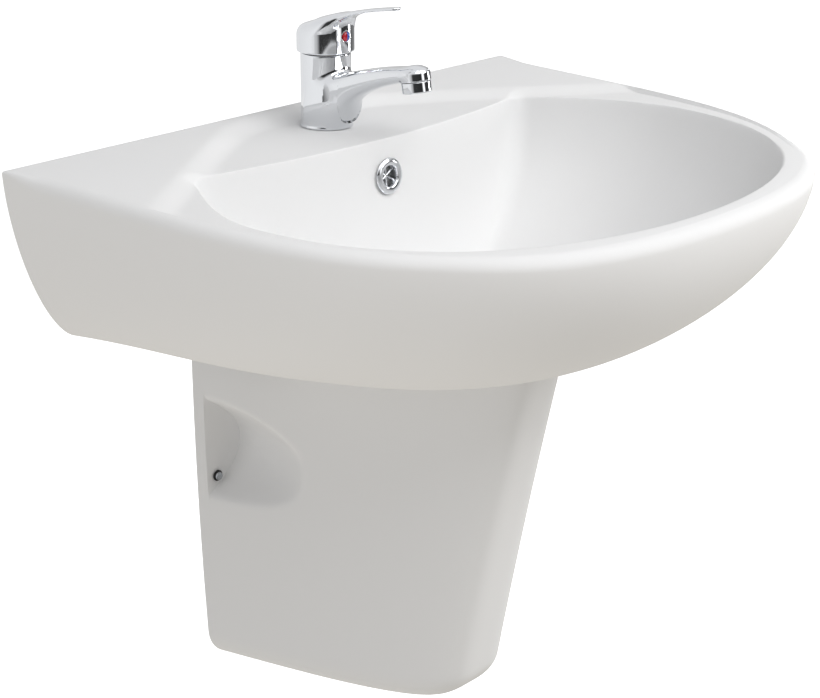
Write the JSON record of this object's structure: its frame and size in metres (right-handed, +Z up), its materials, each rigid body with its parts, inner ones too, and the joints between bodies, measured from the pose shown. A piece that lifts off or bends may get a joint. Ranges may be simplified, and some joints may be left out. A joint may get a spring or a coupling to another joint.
{
  "type": "semi-pedestal washbasin",
  "caption": "Wall-hung white china washbasin with a semi-pedestal shroud, single-lever chrome mixer tap, ringed overflow, click waste and bottle trap.",
  "frame": {"origin": "midway between the two wall bolt holes, on the basin's back face against the wall", "axes": "+Z up, +Y into the wall, so the basin stands out along -Y; +X is to the right seen from the front"},
  "size_m": [0.6, 0.4687, 0.6058],
  "materials": {
    "vitreous_china": "glossy white glaze",
    "chrome_plate": "polished chrome plate on brass",
    "zinc_steel": "zinc-plated steel",
    "white_nylon": "moulded white plastic",
    "black_rubber": "moulded black rubber",
    "raw_brass": "machined brass",
    "grey_acetal": "moulded grey acetal",
    "alumina": "lapped alumina",
    "index_red": "two-colour index plug, red shown"
  },
  "bodies": {
    "root": {"basin": "vitreous_china", "semi_pedestal": "vitreous_china", "overflow_ring": "chrome_plate", "basin_bolt_left": "zinc_steel", "basin_bolt_bush_left": "white_nylon", "basin_bolt_washer_left": "zinc_steel", "basin_bolt_nut_left": "zinc_steel", "pedestal_screw_left": "zinc_steel", "pedestal_screw_washer_left": "black_rubber", "basin_bolt_right": "zinc_steel", "basin_bolt_bush_right": "white_nylon", "basin_bolt_washer_right": "zinc_steel", "basin_bolt_nut_right": "zinc_steel", "pedestal_screw_right": "zinc_steel", "pedestal_screw_washer_right": "black_rubber", "tap_body": "chrome_plate", "tap_base_seal": "black_rubber", "tap_stud": "zinc_steel", "tap_rubber_washer": "black_rubber", "tap_clamp_plate": "zinc_steel", "tap_stud_nut": "raw_brass", "aerator_housing": "chrome_plate", "aerator_insert": "grey_acetal", "aerator_washer": "black_rubber", "cartridge_seal": "black_rubber", "cartridge_housing": "white_nylon", "cartridge_fixed_disc": "alumina", "cartridge_nut": "raw_brass", "cartridge_cover": "chrome_plate", "waste_body": "chrome_plate", "waste_top_seal": "black_rubber", "waste_bottom_seal": "black_rubber", "waste_back_nut": "raw_brass", "waste_latch": "grey_acetal", "trap_inlet_nut": "white_nylon", "trap_inlet_washer": "black_rubber", "trap_inlet_tube": "white_nylon", "trap_top_nut": "white_nylon", "trap_top_seal": "black_rubber", "trap_body": "white_nylon", "trap_cup_seal": "black_rubber", "trap_cup": "white_nylon", "trap_outlet_washer": "black_rubber", "trap_outlet_nut": "white_nylon", "trap_outlet_pipe": "white_nylon", "wall_rosette": "white_nylon"},
    "lever_swivel": {"cartridge_carrier": "grey_acetal", "cartridge_pin": "zinc_steel"},
    "lever": {"lever_handle": "chrome_plate", "lever_grub_screw": "zinc_steel", "index_plug": "index_red", "cartridge_spindle": "raw_brass"},
    "ceramic_disc": {"cartridge_moving_disc": "alumina"},
    "plug": {"waste_plug": "chrome_plate", "waste_plug_seal": "black_rubber"}
  },
  "joints": [
    {"name": "lever_turn", "type": "hinge", "parent": "root", "child": "lever_swivel", "pos_m": [0, -0.055, 0.117], "axis": [0, 0, 1], "range_deg": [-45, 45]},
    {"name": "lever_lift", "type": "hinge", "parent": "lever_swivel", "child": "lever", "pos_m": [0, -0.055, 0.117], "axis": [-1, 0, 0], "range_deg": [0, 22]},
    {"name": "disc_slide", "type": "slide", "parent": "lever_swivel", "child": "ceramic_disc", "axis": [0, -1, 0], "range_m": [0, 0.0042]},
    {"name": "plug_lift", "type": "slide", "parent": "root", "child": "plug", "axis": [0, 0, 1], "range_m": [0, 0.008]}
  ],
  "couplings": [
    {"joint": "disc_slide", "follows": "lever_lift", "m_per_rad": 0.0106}
  ]
}
